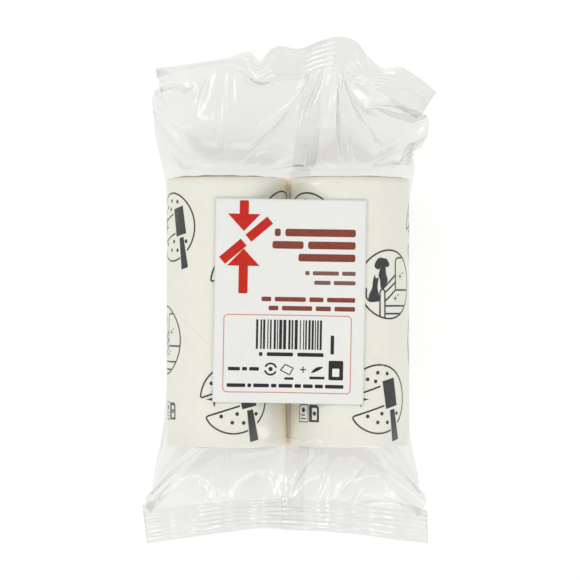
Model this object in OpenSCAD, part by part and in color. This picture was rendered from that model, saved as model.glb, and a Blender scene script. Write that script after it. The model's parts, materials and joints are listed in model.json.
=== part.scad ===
// A sealed film bag that holds two refill rolls for a lint roller, side by side.
// The bag lies on its back. +Z points out of the labelled front, and +Y runs along the rolls
// towards the loose head of the bag. The origin is on the resting plane, under the middle.

/* [Rolls] */
// Length of each roll
roll_l = 100; // [60:1:160]
// Bore of the cardboard core
core_bore_d = 38; // [25:0.5:60]
// Wall of the inner ply of the core
inner_ply_t = 0.5; // [0.3:0.1:1.5]
// Wall of the outer ply of the core
outer_ply_t = 0.5; // [0.3:0.1:1.5]
// Adhesive sheets on each core, in four groups of the same number
sheet_count = 24; // [8:4:60]
// Thickness of the paper of one adhesive sheet
sheet_t = 0.09; // [0.06:0.005:0.2]
// Thickness of the adhesive on the outside of each sheet, left open between the sheets
glue_t = 0.017; // [0.01:0.001:0.05]
// Width of the cut where a sheet ends
sheet_cut_w = 0.4; // [0.2:0.1:2]
// Turn of the cut from each sheet to the next, in degrees
sheet_cut_turn = 35; // [5:1:90]
// Thickness of the printed wrap
wrap_t = 0.13; // [0.1:0.01:0.3]
// Width of the butt joint where the two ends of the wrap meet
wrap_joint_w = 0.5; // [0.2:0.1:2]
// Gap between the two rolls
roll_gap = 0.3; // [0.2:0.05:2]

/* [Film] */
// Wall of the film as modelled
film_t = 0.3; // [0.2:0.05:1]
// Clearance between a roll and the film round it
film_clear = 0.3; // [0.2:0.05:2]
// Clearance between the end of a roll and the place where the film starts to close
end_clear = 0.5; // [0.3:0.1:3]
// Free length above the rolls that they can slide into
slide_room = 4; // [2:0.5:40]
// Length over which the film closes at the head
head_l = 36.5; // [15:0.5:60]
// Length over which the film closes at the foot
foot_l = 23.8; // [15:0.5:60]

/* [End seals] */
// How much narrower the gathered seals are than the flattened film
seal_gather = 9; // [0:0.5:20]
// Plain film between the fold line and the first ridge
seal_lead = 1.3; // [0.8:0.1:5]
// Distance from one ridge to the next
ridge_pitch = 2; // [1:0.1:4]
// Ridges across a seal
ridge_count = 5; // [2:1:10]
// Height from the bottom of a groove to the top of a ridge
ridge_h = 0.4; // [0.1:0.05:1]
// Plain lip outside the ridges
seal_lip = 2; // [0.5:0.1:8]
// Clearance round the fold line of a seal
fold_clear = 0.3; // [0.2:0.05:1]

/* [Back fin seal] */
// Width of the fin from its fold to its free edge
fin_w = 9; // [5:0.5:18]
// Clearance at each edge of the fin, in the channel that it lies in
fin_side_clear = 0.5; // [0.2:0.1:3]
// Height of the fin above the surface that the pack rests on
fin_floor_clear = 0.3; // [0.1:0.1:1]
// Clearance between the fin and the sloping film of the head and foot
fin_slope_clear = 0.1; // [0.05:0.05:0.5]
// Distance from each end of the fin to the fold line of the seal
fin_end_clear = 1.6; // [1:0.1:5]

/* [Label] */
// Width of the label
label_w = 55.8; // [20:0.2:80]
// Length of the label
label_l = 75.5; // [20:0.5:110]
// Thickness of the label
label_t = 0.12; // [0.08:0.01:0.5]
// Glue line between the label and the film
label_glue_t = 0.02; // [0.01:0.01:0.1]
// Offset of the label to the right of the middle of the rolls
label_x = 0.6; // [-10:0.1:10]
// Offset of the label from the middle of the rolls towards the head
label_y = 4; // [-10:0.1:10]
// Turn of the label, in degrees
label_turn = -1; // [-5:0.1:5]

/* [Hidden] */
$fn = 96;

LEFT = -1;
RIGHT = 1;

film_colour = [0.93, 0.95, 0.94, 0.35];
seal_colour = [0.97, 0.98, 0.97, 0.55];
label_colour = [0.95, 0.95, 0.95];
wrap_colour = [0.93, 0.91, 0.84];
sheet_colour = [0.95, 0.94, 0.9];
card_colour = [0.74, 0.63, 0.47];

// Radii of a roll, from its bore outwards
bore_r = core_bore_d / 2;
ply_r = bore_r + inner_ply_t;
core_r = ply_r + outer_ply_t;
sheet_pitch = sheet_t + glue_t;
sheets_r = core_r + sheet_count * sheet_pitch;
roll_r = sheets_r + wrap_t;
group_count = 4;
group_sheets = sheet_count / group_count;

// The film tube round both rolls
tube_in_r = roll_r + film_clear;
tube_r = tube_in_r + film_t;
roll_x = roll_r + roll_gap / 2;
roll_z = tube_r;
film_flat_w = PI * tube_r + 2 * roll_x;
seal_w = film_flat_w - seal_gather;

// Stations along the pack, from the foot to the head
ridges_l = ridge_count * ridge_pitch;
seal_l = seal_lead + ridges_l + seal_lip;
tube_l = end_clear + roll_l + slide_room + end_clear;
pack_l = 2 * seal_l + foot_l + tube_l + head_l;
foot_fold_y = seal_l - pack_l / 2;
tube_y = foot_fold_y + foot_l;
tube_end_y = tube_y + tube_l;
head_fold_y = tube_end_y + head_l;
roll_y = tube_y + end_clear;
roll_mid_y = roll_y + roll_l / 2;

// The fin is two layers of film, and it lies in a channel in the back wall
fin_t = 2 * film_t;
channel_d = fin_floor_clear + fin_t;
channel_x = -fin_side_clear;
channel_w = fin_w + 2 * fin_side_clear;

// The closing film stops short of the fold line, to leave the seal room to turn
fold_gap = film_t + fold_clear;
// It starts with a short straight stretch and ends in a short flat edge
straight_l = 1;
edge_l = 0.2;
facets = 48;
past = 1;

// A solid standing along +Y, from a profile drawn in X and Z
module along_y(y, length) {
  translate([0, y + length, 0])
    rotate([90, 0, 0])
      linear_extrude(length)
        children();
}

// A tube along +Y at the place of one roll
module roll_tube(side, inner_r, outer_r) {
  along_y(roll_y, roll_l)
    translate([side * roll_x, roll_z])
      difference() {
        circle(outer_r);
        circle(inner_r);
      }
}

// Both roll circles grown to radius r and joined by a flat front and back
module tube_profile(r) {
  for (side = [LEFT, RIGHT])
    translate([side * roll_x, roll_z])
      circle(r);
  translate([-roll_x, roll_z - r])
    square([2 * roll_x, 2 * r]);
}

// The channel for the fin, grown by a margin on the inside
module channel_profile(margin) {
  translate([channel_x - margin, -past])
    square([channel_w + 2 * margin, channel_d + past + margin]);
}

module film_wall_profile() {
  difference() {
    tube_profile(tube_r);
    channel_profile(0);
    difference() {
      tube_profile(tube_in_r);
      channel_profile(film_t);
    }
  }
}

module film_front_wall() {
  color(film_colour)
    along_y(tube_y, tube_l)
      intersection() {
        film_wall_profile();
        translate([-seal_w, roll_z])
          square([2 * seal_w, 2 * tube_r]);
      }
}

module film_back_wall() {
  color(film_colour)
    along_y(tube_y, tube_l)
      intersection() {
        film_wall_profile();
        translate([-seal_w, roll_z - 2 * tube_r])
          square([2 * seal_w, 2 * tube_r]);
      }
}

// A closed wedge from a straight start with the tube's profile to a flat edge at edge_y
module closing_wedge(start_y, edge_y, r, edge_w, edge_h) {
  hull() {
    along_y(start_y, straight_l - start_y)
      tube_profile(r, $fn = facets);
    translate([-edge_w / 2, edge_y, roll_z - edge_h / 2])
      cube([edge_w, edge_l, edge_h]);
  }
}

// Distance from the tube to the flat edge that the closing film ends in
function close_y(length) = length - fold_gap - edge_l;

// The back of the closing film rises in a straight line from its straight start to its far edge
function back_rise(length) = (roll_z - film_t) / (close_y(length) + edge_l - straight_l);

// The film that closes the tube. It is drawn for the head, from y = 0 towards +Y.
module closing_film(length) {
  channel_l = straight_l + channel_d / back_rise(length) + film_t;
  difference() {
    closing_wedge(0, close_y(length), tube_r, seal_w, 2 * film_t);
    difference() {
      closing_wedge(-past, close_y(length) - film_t, tube_in_r, seal_w - 4 * film_t, edge_l);
      translate([channel_x - film_t, -past, -past])
        cube([channel_w + 2 * film_t, past + straight_l, past + channel_d + film_t]);
    }
    translate([channel_x, -past, -past])
      cube([channel_w, past + channel_l, past + channel_d]);
  }
}

module film_head() {
  color(film_colour)
    translate([0, tube_end_y, 0])
      closing_film(head_l);
}

module film_foot() {
  color(film_colour)
    translate([0, tube_y, 0])
      mirror([0, 1, 0])
        closing_film(foot_l);
}

// A line that runs below the back of the closing film, at a drop square to it
function drop_z(length, drop) = drop * sqrt(1 + pow(back_rise(length), 2));
function below_y(length, drop, z) = straight_l + (z + drop_z(length, drop)) / back_rise(length);
function below_z(length, drop, y) = (y - straight_l) * back_rise(length) - drop_z(length, drop);

// One face of the fin past the tube: the point where it turns up, and its end
function fin_face(length, drop, z) = [
  [below_y(length, drop, z), z],
  [length - fin_end_clear, below_z(length, drop, length - fin_end_clear)]
];

// Both faces of the fin at one end of the tube, with y measured out of the tube
function fin_end(length) = [
  each fin_face(length, fin_slope_clear, channel_d),
  for (i = [1, 0]) fin_face(length, fin_slope_clear + fin_t, fin_floor_clear)[i]
];

module back_fin_seal() {
  head_end = [for (p = fin_end(head_l)) [tube_end_y + p[0], p[1]]];
  foot_end = [for (p = fin_end(foot_l)) [tube_y - p[0], p[1]]];
  color(seal_colour)
    rotate([90, 0, 90])
      linear_extrude(fin_w)
        polygon(concat(head_end, [for (i = [3 : -1 : 0]) foot_end[i]]));
}

// Middle line of a crimp seal, in distance from the fold line and height
function ridge_line() = [
  [0, 0],
  [seal_lead, 0],
  for (i = [0 : ridge_count - 1])
    each [
      [seal_lead + (i + 0.25) * ridge_pitch, ridge_h / 2],
      [seal_lead + (i + 0.75) * ridge_pitch, -ridge_h / 2]
    ],
  [seal_lead + ridges_l, 0],
  [seal_l, 0]
];

// A crimp seal, drawn towards +Y. Its edge on the fold line is pointed, so that it can turn.
module crimp_seal() {
  line = ridge_line();
  last = len(line) - 1;
  front = [for (p = line) [p[0], p[1] + film_t]];
  back = [for (i = [last : -1 : 0]) [line[i][0], line[i][1] - film_t]];
  color(seal_colour)
    translate([-seal_w / 2, 0, roll_z])
      rotate([90, 0, 90])
        linear_extrude(seal_w)
          polygon(concat([[-film_t, 0]], front, back));
}

module top_crimp_seal() {
  translate([0, head_fold_y, 0])
    crimp_seal();
}

module bottom_crimp_seal() {
  translate([0, foot_fold_y, 0])
    mirror([0, 1, 0])
      crimp_seal();
}

// The label follows the film over the flat front and down the start of each roll's curve
module front_label() {
  inner_r = tube_r + label_glue_t;
  color(label_colour)
    intersection() {
      along_y(tube_y, tube_l)
        difference() {
          tube_profile(inner_r + label_t);
          tube_profile(inner_r);
        }
      translate([label_x, roll_mid_y + label_y, roll_z])
        rotate([0, 0, label_turn])
          translate([-label_w / 2, -label_l / 2, 0])
            cube([label_w, label_l, 2 * tube_r]);
    }
}

module core_inner_ply(side) {
  color(card_colour)
    roll_tube(side, bore_r, ply_r);
}

module core_outer_ply(side) {
  color(card_colour)
    roll_tube(side, ply_r, core_r);
}

// A tube whose wall is cut through along its length at the given turn
module cut_tube(side, inner_r, outer_r, cut_w, turn) {
  along_y(roll_y, roll_l)
    translate([side * roll_x, roll_z])
      difference() {
        circle(outer_r);
        circle(inner_r);
        rotate(turn)
          translate([0, -cut_w / 2])
            square([2 * outer_r, cut_w]);
      }
}

// One group of sheets, each wound on the one before it
module sheets(side, group) {
  color(sheet_colour)
    for (i = [group * group_sheets : (group + 1) * group_sheets - 1]) {
      inner_r = core_r + i * sheet_pitch;
      cut_tube(side, inner_r, inner_r + sheet_t, sheet_cut_w, i * sheet_cut_turn);
    }
}

module printed_wrap(side) {
  color(wrap_colour)
    cut_tube(side, sheets_r, roll_r, wrap_joint_w, -90);
}

film_front_wall();
film_back_wall();
film_head();
film_foot();
back_fin_seal();
top_crimp_seal();
bottom_crimp_seal();
front_label();
core_inner_ply(LEFT);  // left_core_inner_ply
core_outer_ply(LEFT);  // left_core_outer_ply
sheets(LEFT, 0);  // left_inner_sheets
sheets(LEFT, 1);  // left_mid_inner_sheets
sheets(LEFT, 2);  // left_mid_outer_sheets
sheets(LEFT, 3);  // left_outer_sheets
printed_wrap(LEFT);  // left_printed_wrap
core_inner_ply(RIGHT);  // right_core_inner_ply
core_outer_ply(RIGHT);  // right_core_outer_ply
sheets(RIGHT, 0);  // right_inner_sheets
sheets(RIGHT, 1);  // right_mid_inner_sheets
sheets(RIGHT, 2);  // right_mid_outer_sheets
sheets(RIGHT, 3);  // right_outer_sheets
printed_wrap(RIGHT);  // right_printed_wrap
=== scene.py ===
"""Looks for a sealed film pack of two lint roller refill rolls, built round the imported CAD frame."""
import json
import math

import bpy
import numpy as np
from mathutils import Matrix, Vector
from mathutils.bvhtree import BVHTree
from mathutils.geometry import tessellate_polygon


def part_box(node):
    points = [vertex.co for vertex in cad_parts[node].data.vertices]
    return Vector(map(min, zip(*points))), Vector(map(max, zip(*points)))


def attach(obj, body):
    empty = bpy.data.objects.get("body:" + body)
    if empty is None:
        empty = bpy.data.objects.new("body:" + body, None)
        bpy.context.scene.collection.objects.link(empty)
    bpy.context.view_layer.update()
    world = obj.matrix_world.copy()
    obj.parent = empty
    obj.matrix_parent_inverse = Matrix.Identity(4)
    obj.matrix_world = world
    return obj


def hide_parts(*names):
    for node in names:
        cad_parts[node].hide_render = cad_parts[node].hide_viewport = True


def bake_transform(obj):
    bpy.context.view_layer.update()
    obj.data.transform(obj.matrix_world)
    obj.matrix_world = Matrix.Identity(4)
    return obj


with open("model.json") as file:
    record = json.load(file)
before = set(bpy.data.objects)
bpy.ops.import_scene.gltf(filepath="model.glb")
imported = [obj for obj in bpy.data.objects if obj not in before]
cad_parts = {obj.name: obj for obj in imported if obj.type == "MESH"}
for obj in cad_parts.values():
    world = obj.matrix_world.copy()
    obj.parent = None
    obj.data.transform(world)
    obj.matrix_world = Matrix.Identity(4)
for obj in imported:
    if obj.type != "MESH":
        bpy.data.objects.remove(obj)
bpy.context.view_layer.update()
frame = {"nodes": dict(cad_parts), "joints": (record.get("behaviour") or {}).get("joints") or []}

MM = 0.001

# ======================================== sizes from the frame, in mm


def box_mm(node):
    """The two corners of a CAD node's box."""
    low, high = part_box(node)
    return np.array(low) / MM, np.array(high) / MM


wrap_low, wrap_high = box_mm("right_printed_wrap")
ROLL_R = (wrap_high[2] - wrap_low[2]) / 2
ROLL_X = (wrap_low[0] + wrap_high[0]) / 2
ROLL_Z = (wrap_low[2] + wrap_high[2]) / 2
ROLL_Y0, ROLL_Y1 = wrap_low[1], wrap_high[1]
CORE_R = box_mm("right_core_outer_ply")[1][2] - ROLL_Z
PLY_R = box_mm("right_core_inner_ply")[1][2] - ROLL_Z
BORE_R = 2 * PLY_R - CORE_R
SLIDE = max(j["range_m"][1] for j in frame["joints"] if j["type"] == "slide") / MM
HEAD_FOLD = next(j["pos_m"] for j in frame["joints"] if j["name"] == "top_seal_fold")[1] / MM
FOOT_FOLD = next(j["pos_m"] for j in frame["joints"] if j["name"] == "bottom_seal_fold")[1] / MM
label_low, label_high = box_mm("front_label")
LABEL_W, LABEL_H, LABEL_TURN = 55.8, 75.5, math.radians(-1)
LABEL_X, LABEL_Y = (label_low[0] + label_high[0]) / 2, (label_low[1] + label_high[1]) / 2

# ======================================== the film, as a flat web that is closed and relaxed

# The coarse web: its girth, the length between its rows, its points round, and its rows by stretch.
GIRTH = 236.6
CELL = 2.66
COLS = 90
BAND_ROWS, FOOT_ROWS, ROLL_ROWS, HEAD_ROWS = 5, 11, 38, 19
ROWS = 2 * BAND_ROWS + FOOT_ROWS + ROLL_ROWS + HEAD_ROWS
HEAD_ROUND = 0.28
# How far the film stays off the rolls' sides, their foot, and their head at the end of the slide.
ROLL_GAP, FOOT_GAP, HEAD_GAP = 0.3, 0.5, 0.9
END_Y = ROLL_Y1 + SLIDE + HEAD_GAP
# How far its front and back layers stay apart, and how far it stays above the floor. Where the folded
# seam lies between it and the floor, it stays higher.
LAYER_GAP, FLOOR_GAP, SEAM_FLOOR_GAP = 0.6, 0.12, 0.75
SEAM_X0, SEAM_X1, SEAM_END = -0.8, 9.8, 82
# Share of a step's motion that carries on, and the most of it in cells.
CARRY, MOST_CARRY = 0.9, 0.25
# Two halvings of the cells make the fine web.
LEVEL = 2
FINE = 2 ** LEVEL

# Each row: share of the seal's width, then x, y, z of its lip and x, y, z of its root.
HEAD_SEAL = [
    (0.00, -50.5, 84.2, 13.0, -49.6, 80.0, 22.0),
    (0.14, -33.2, 87.0, 9.5, -33.5, 83.8, 21.5),
    (0.23, -23.0, 88.6, 9.5, -23.5, 84.0, 21.5),
    (0.31, -14.3, 90.5, 13.0, -15.5, 81.0, 20.0),
    (0.345, -11.3, 86.8, 17.0, -11.5, 76.5, 21.5),
    (0.39, -5.7, 91.6, 21.0, -6.0, 79.0, 19.5),
    (0.48, 4.5, 91.2, 19.5, 4.5, 79.5, 18.0),
    (0.56, 13.5, 94.5, 20.5, 11.5, 81.5, 20.0),
    (0.62, 19.6, 95.8, 21.5, 17.0, 82.5, 22.0),
    (0.67, 25.3, 94.4, 22.0, 20.5, 81.5, 21.5),
    (0.73, 29.5, 89.0, 21.0, 24.0, 78.5, 19.0),
    (0.795, 35.8, 84.0, 17.0, 30.5, 76.5, 24.5),
    (0.86, 42.5, 84.2, 20.0, 36.5, 74.5, 23.0),
    (0.93, 49.4, 80.1, 21.5, 43.5, 71.0, 23.0),
    (1.00, 56.0, 74.5, 22.0, 51.0, 66.5, 24.0),
]
FOOT_SEAL = [
    (0.00, -53.2, -96.0, 21.5, -54.8, -84.2, 20.5),
    (0.09, -43.6, -94.7, 19.0, -44.6, -82.8, 18.5),
    (0.17, -35.4, -93.3, 22.0, -36.0, -81.6, 22.5),
    (0.29, -23.8, -91.9, 19.5, -24.2, -80.5, 18.0),
    (0.42, -10.4, -90.0, 23.5, -10.6, -79.7, 23.0),
    (0.53, 0.6, -91.0, 18.5, 0.6, -79.6, 17.5),
    (0.61, 9.5, -91.2, 21.0, 9.4, -79.9, 21.5),
    (0.69, 16.9, -91.8, 19.0, 16.8, -80.3, 18.5),
    (0.80, 28.8, -92.6, 23.0, 28.4, -81.4, 23.0),
    (0.91, 42.0, -95.0, 18.5, 41.6, -83.0, 17.5),
    (1.00, 53.4, -96.0, 20.5, 53.0, -84.8, 20.0),
]
# Where the film swells or creases: distance round the web from its left edge, distance along it from
# the foot's lip, then x, y, z to be drawn to and the reach. All in mm.
GUIDES = [
    (0.0, 38.0, -51.6, -72.0, 22.0, 5.0),
    (0.0, 28.0, -54.4, -79.0, 21.0, 5.0),
    (118.3, 38.0, 50.0, -72.0, 22.0, 5.0),
    (118.3, 28.0, 52.6, -79.0, 21.0, 5.0),
    (0.0, 152.0, -48.5, 50.0, 22.0, 6.0),
    (0.0, 161.0, -50.6, 59.0, 22.0, 7.0),
    (0.0, 170.0, -50.8, 67.0, 22.0, 7.0),
    (0.0, 179.0, -50.4, 75.0, 22.0, 6.0),
    (118.3, 149.0, 48.6, 47.0, 23.0, 4.0),
    (118.3, 160.0, 47.2, 53.5, 23.0, 4.0),
    (118.3, 175.0, 53.0, 63.0, 22.0, 5.0),
    (40.0, 153.0, -19.0, 50.3, 46.5, 3.0),
    (52.0, 153.0, -7.0, 50.3, 45.5, 3.0),
    (66.0, 153.0, 7.0, 50.3, 45.0, 3.0),
    (78.0, 147.0, 18.5, 44.4, 48.0, 3.0),
    (86.0, 151.0, 26.0, 47.8, 47.5, 3.0),
]


def through(table, s):
    """A smooth curve through the rows of a table, read at the shares s."""
    p = np.array(table, float)
    t = p[:, 0]
    i = np.clip(np.searchsorted(t, s) - 1, 0, len(t) - 2)
    h = t[i + 1] - t[i]
    q = np.clip((s - t[i]) / h, 0, 1)
    out = []
    for k in range(1, p.shape[1]):
        d = np.gradient(p[:, k], t)
        a, b, c, e = p[i, k], p[i + 1, k], d[i] * h, d[i + 1] * h
        out.append(a + q * (c + q * (3 * (b - a) - 2 * c - e + q * (2 * (a - b) + c + e))))
    return np.stack(out)


def seal_places(level):
    """Where the points of both seals are drawn to, foot first, with rows in the web's order."""
    rows, cols = BAND_ROWS * 2 ** level + 1, COLS * 2 ** level
    t = np.linspace(0, 1, rows)[None, :, None]
    out = []
    for table in (FOOT_SEAL, HEAD_SEAL):
        c = through(table, np.linspace(0, 1, cols // 2 + 1))
        half = c[3:, None, :] * (1 - t) + c[:3, None, :] * t
        out.append(np.concatenate([half, half[..., -2:0:-1]], axis=-1))
    return out[0][:, ::-1], out[1]


def tube_profile(n):
    """x and z of points round a tube that just holds both rolls, from the left edge over the front."""
    r = (GIRTH - 4 * ROLL_X) / (2 * math.pi)
    arc, flat = math.pi * r / 2, 2 * ROLL_X
    x, z = np.zeros(n), np.zeros(n)
    for k in range(n):
        u = k * GIRTH / n
        e = min(u, GIRTH - u)
        if e < arc:
            x[k], rise = -ROLL_X - r * math.cos(e / r), r * math.sin(e / r)
        elif e < arc + flat:
            x[k], rise = e - arc - ROLL_X, r
        else:
            a = (2 * arc + flat - e) / r
            x[k], rise = ROLL_X + r * math.cos(a), r * math.sin(a)
        z[k] = ROLL_Z + (rise if u <= GIRTH / 2 else -rise)
    return x, z


def first_shape():
    """The web as a tube round the rolls that closes straight to the two seals."""
    x, z = tube_profile(COLS)
    foot, head = seal_places(0)
    lo = BAND_ROWS + FOOT_ROWS
    hi = lo + ROLL_ROWS
    P = np.zeros((3, ROWS + 1, COLS))
    for j in range(ROWS + 1):
        if j <= BAND_ROWS:
            P[:, j] = foot[:, j]
        elif j >= ROWS - BAND_ROWS:
            P[:, j] = head[:, j - (ROWS - BAND_ROWS)]
        elif j < lo:
            t = (lo - j) / FOOT_ROWS
            tube = np.stack([x, np.full(COLS, ROLL_Y0), z])
            P[:, j] = tube * (1 - t) + foot[:, -1] * t
        elif j <= hi:
            P[:, j] = np.stack([x, np.full(COLS, ROLL_Y0 + (j - lo) * CELL), z])
        else:
            t = (j - hi) / HEAD_ROWS
            q = max(0.0, (t - HEAD_ROUND) / (1 - HEAD_ROUND))
            P[0, j] = x * (1 - q) + head[0, 0] * q
            P[1, j] = P[1, hi] * (1 - t) + head[1, 0] * t
            P[2, j] = z * (1 - q) + head[2, 0] * q
    return P


def finer(P):
    """Twice as many points both ways, by a smooth rule."""
    wide = np.repeat(P, 2, axis=2)
    wide[:, :, 1::2] = (9 * (P + np.roll(P, -1, 2)) - np.roll(P, 1, 2) - np.roll(P, -2, 2)) / 16
    out = np.zeros((3, 2 * wide.shape[1] - 1, wide.shape[2]))
    out[:, 0::2] = wide
    mid = (wide[:, :-1] + wide[:, 1:]) / 2
    mid[:, 1:-1] = (9 * (wide[:, 1:-2] + wide[:, 2:-1]) - wide[:, :-3] - wide[:, 3:]) / 16
    out[:, 1::2] = mid
    return out


def pull(a, b, length, share):
    """Moves two sets of points, a and b, towards their distance in the flat web."""
    d = b - a
    n = np.sqrt((d * d).sum(0)) + 1e-9
    d *= (n - length) / n * (0.5 * share)
    a += d
    b -= d


def outward(P):
    """Directions that point out of the closed web."""
    across = np.roll(P, -1, 2) - np.roll(P, 1, 2)
    along = np.gradient(P, axis=1)
    n = np.cross(along, across, axis=0)
    return n / (np.sqrt((n * n).sum(0)) + 1e-9)


def stiffen(A, cell, share, axis):
    """A weak pull that keeps points two apart at twice the spacing, so that folds stay open."""
    if axis == 2:
        for k in (0, 1):
            S = np.roll(A, -k, 2)
            d = np.roll(S[:, :, 0::2], -1, 2) - S[:, :, 0::2]
            n = np.sqrt((d * d).sum(0)) + 1e-9
            d *= (n - 2 * cell) / n * (0.25 * share)
            S[:, :, 0::2] += d - np.roll(d, 1, 2)
            A = np.roll(S, k, 2)
        return A
    for k in (0, 1):
        a, b = A[:, k:-2:2], A[:, k + 2::2]
        n_rows = min(a.shape[1], b.shape[1])
        d = b[:, :n_rows] - a[:, :n_rows]
        n = np.sqrt((d * d).sum(0)) + 1e-9
        d *= (n - 2 * cell) / n * (0.25 * share)
        A[:, k:k + 2 * n_rows:2] += d
        A[:, k + 2:k + 2 + 2 * n_rows:2] -= d
    return A


def clear_rolls(A):
    """Pushes the film out of both rolls, over the whole of their slide."""
    x, y, z = A
    limit = ROLL_R + ROLL_GAP
    low = ROLL_Y0 - FOOT_GAP
    for side in (-1, 1):
        dx, dz = x - side * ROLL_X, z - ROLL_Z
        r = np.sqrt(dx * dx + dz * dz) + 1e-9
        inside = (r < limit) & (y > low) & (y < END_Y)
        side_in, foot_in, head_in = limit - r, y - low, END_Y - y
        by_side = inside & (side_in <= foot_in) & (side_in <= head_in)
        by_foot = inside & ~by_side & (foot_in < head_in)
        by_head = inside & ~by_side & ~by_foot
        k = np.where(by_side, side_in / r, 0)
        x += dx * k
        z += dz * k
        y += np.where(by_head, head_in, 0) - np.where(by_foot, foot_in, 0)


def guides_for(P, level):
    """Soft weights that draw the film to its swells and creases."""
    rows, cols = P.shape[1], P.shape[2]
    v = np.arange(rows)[:, None] * CELL / 2 ** level
    u = np.arange(cols)[None, :] * GIRTH / cols
    out = []
    for at_u, at_v, x, y, z, reach in GUIDES:
        du = np.abs(u - at_u)
        du = np.minimum(du, GIRTH - du)
        w = np.exp(-((v - at_v) ** 2 + du ** 2) / reach ** 2)
        j, i = int(round(at_v / CELL * 2 ** level)), int(round(at_u / GIRTH * cols)) % cols
        out.append((w, j, i, np.array([x, y, z])))
    return out


def relax(P, level, steps, pin, guide, press, stiff):
    """Steps the web towards its flat lengths, under a slight inner pressure, clear of rolls and floor."""
    scale = 2 ** level
    cell_v, cell_u = CELL / scale, GIRTH / COLS / scale
    rows, cols = P.shape[1:]
    band, half = BAND_ROWS * scale, cols // 2
    diagonal = math.hypot(cell_u, cell_v)
    other = (-np.arange(cols)) % cols
    foot, head = seal_places(level)
    guides = guides_for(P, level)
    V = np.zeros_like(P)
    for step in range(steps):
        A = P + V * CARRY
        n = outward(P) * press
        n[:, :band + 1] = 0
        n[:, rows - 1 - band:] = 0
        A += n
        for w, j, i, place in guides:
            A += guide * w * (place - A[:, j, i])[:, None, None]
        for a, b, place in ((0, band + 1, foot), (rows - 1 - band, rows, head)):
            both = (A[:, a:b] + A[:, a:b][:, :, other]) / 2
            A[:, a:b] = both + (place - both) * pin
        for k in (0, 1):
            S = np.roll(A, -k, 2)
            pull(S[:, :, 0::2], S[:, :, 1::2], cell_u, 1.0)
            A = np.roll(S, k, 2)
        for k in (0, 1):
            m = 2 * ((rows - k) // 2)
            pull(A[:, k:k + m:2], A[:, k + 1:k + m:2], cell_v, 1.0)
        for k in (0, 1):
            m = 2 * ((rows - k) // 2)
            for shift in (1, -1):
                far = np.roll(A[:, k + 1:k + m:2], -shift, 2)
                pull(A[:, k:k + m:2], far, diagonal, 0.6)
                A[:, k + 1:k + m:2] = np.roll(far, shift, 2)
        A = stiffen(A, cell_u, stiff, 2)
        A = stiffen(A, cell_v, stiff, 1)
        for a, b in ((0, band + 1), (rows - 1 - band, rows)):
            s = A[:, a:b]
            bend = (np.roll(s, 1, 2) + np.roll(s, -1, 2)) / 2 - s
            bend[:, :, 0] = 0
            bend[:, :, half] = 0
            s += 0.1 * bend
        clear_rolls(A)
        front = A[2, band + 1:rows - 1 - band, 1:half]
        back = A[2, band + 1:rows - 1 - band, cols - 1:half:-1]
        apart = np.maximum(LAYER_GAP - (front - back), 0) / 2
        front += apart
        back -= apart
        over_seam = (A[0] > SEAM_X0) & (A[0] < SEAM_X1) & (np.abs(A[1]) < SEAM_END)
        A[2] = np.maximum(A[2], np.where(over_seam, SEAM_FLOOR_GAP, FLOOR_GAP))
        V = np.clip(A - P, -MOST_CARRY * cell_u, MOST_CARRY * cell_u)
        P = A
    return P


def relaxed_film():
    """The film's final shape, from a coarse web that is refined twice."""
    rng = np.random.default_rng(7)
    P = first_shape()
    free = P[:, BAND_ROWS + 1:-BAND_ROWS - 1]
    free += rng.normal(0, 0.25, free.shape)
    P = relax(P, 0, 900, 0.25, 0.05, 0.004, 0.1)
    P = relax(finer(P), 1, 700, 0.1, 0.03, 0.002, 0.05)
    return relax(finer(P), 2, 260, 0.05, 0.01, 0.001, 0.03)


FILM = relaxed_film()
BAND = BAND_ROWS * FINE
ROW_MM = CELL / FINE
HALF = FILM.shape[2] // 2

# ======================================== meshes


def piece(name, co_mm, faces, material):
    """A smooth mesh object from points in mm."""
    mesh = bpy.data.meshes.new(name)
    mesh.from_pydata((np.asarray(co_mm, float) * MM).tolist(), [], [tuple(int(i) for i in f) for f in faces])
    mesh.polygons.foreach_set("use_smooth", [True] * len(mesh.polygons))
    mesh.materials.append(material)
    obj = bpy.data.objects.new(name, mesh)
    bpy.context.scene.collection.objects.link(obj)
    return obj


def ring_faces(rows, cols, closed=True, flip=False):
    """Four-sided faces of a grid of rows by cols points, closed round the columns."""
    idx = np.arange(rows * cols).reshape(rows, cols)
    if closed:
        a, b, c, d = idx[:-1], np.roll(idx[:-1], -1, 1), np.roll(idx[1:], -1, 1), idx[1:]
    else:
        a, b, c, d = idx[:-1, :-1], idx[:-1, 1:], idx[1:, 1:], idx[1:, :-1]
    return np.stack([a, d, c, b] if flip else [a, b, c, d], -1).reshape(-1, 4)


def points(P):
    """A grid's points as one list, row by row."""
    return P.transpose(1, 2, 0).reshape(-1, 3)


# ======================================== materials


def material(name):
    """An empty node material, its tree and its output."""
    m = bpy.data.materials.new(name)
    m.use_nodes = True
    t = m.node_tree
    t.nodes.clear()
    out = t.nodes.new("ShaderNodeOutputMaterial")
    return m, t, out


def node(t, kind, **values):
    """A node with values for its sockets, or for its settings where no socket has the name."""
    n = t.nodes.new(kind)
    for k, v in values.items():
        if k in n.inputs:
            n.inputs[k].default_value = v
        else:
            setattr(n, k, v)
    return n


def maths(t, op, a, b=None, c=None, clamp=False):
    """A sum of numbers or sockets."""
    n = t.nodes.new("ShaderNodeMath")
    n.operation = op
    n.use_clamp = clamp
    for i, v in enumerate((a, b, c)):
        if v is None:
            continue
        if isinstance(v, (int, float)):
            n.inputs[i].default_value = v
        else:
            t.links.new(v, n.inputs[i])
    return n.outputs[0]


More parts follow.
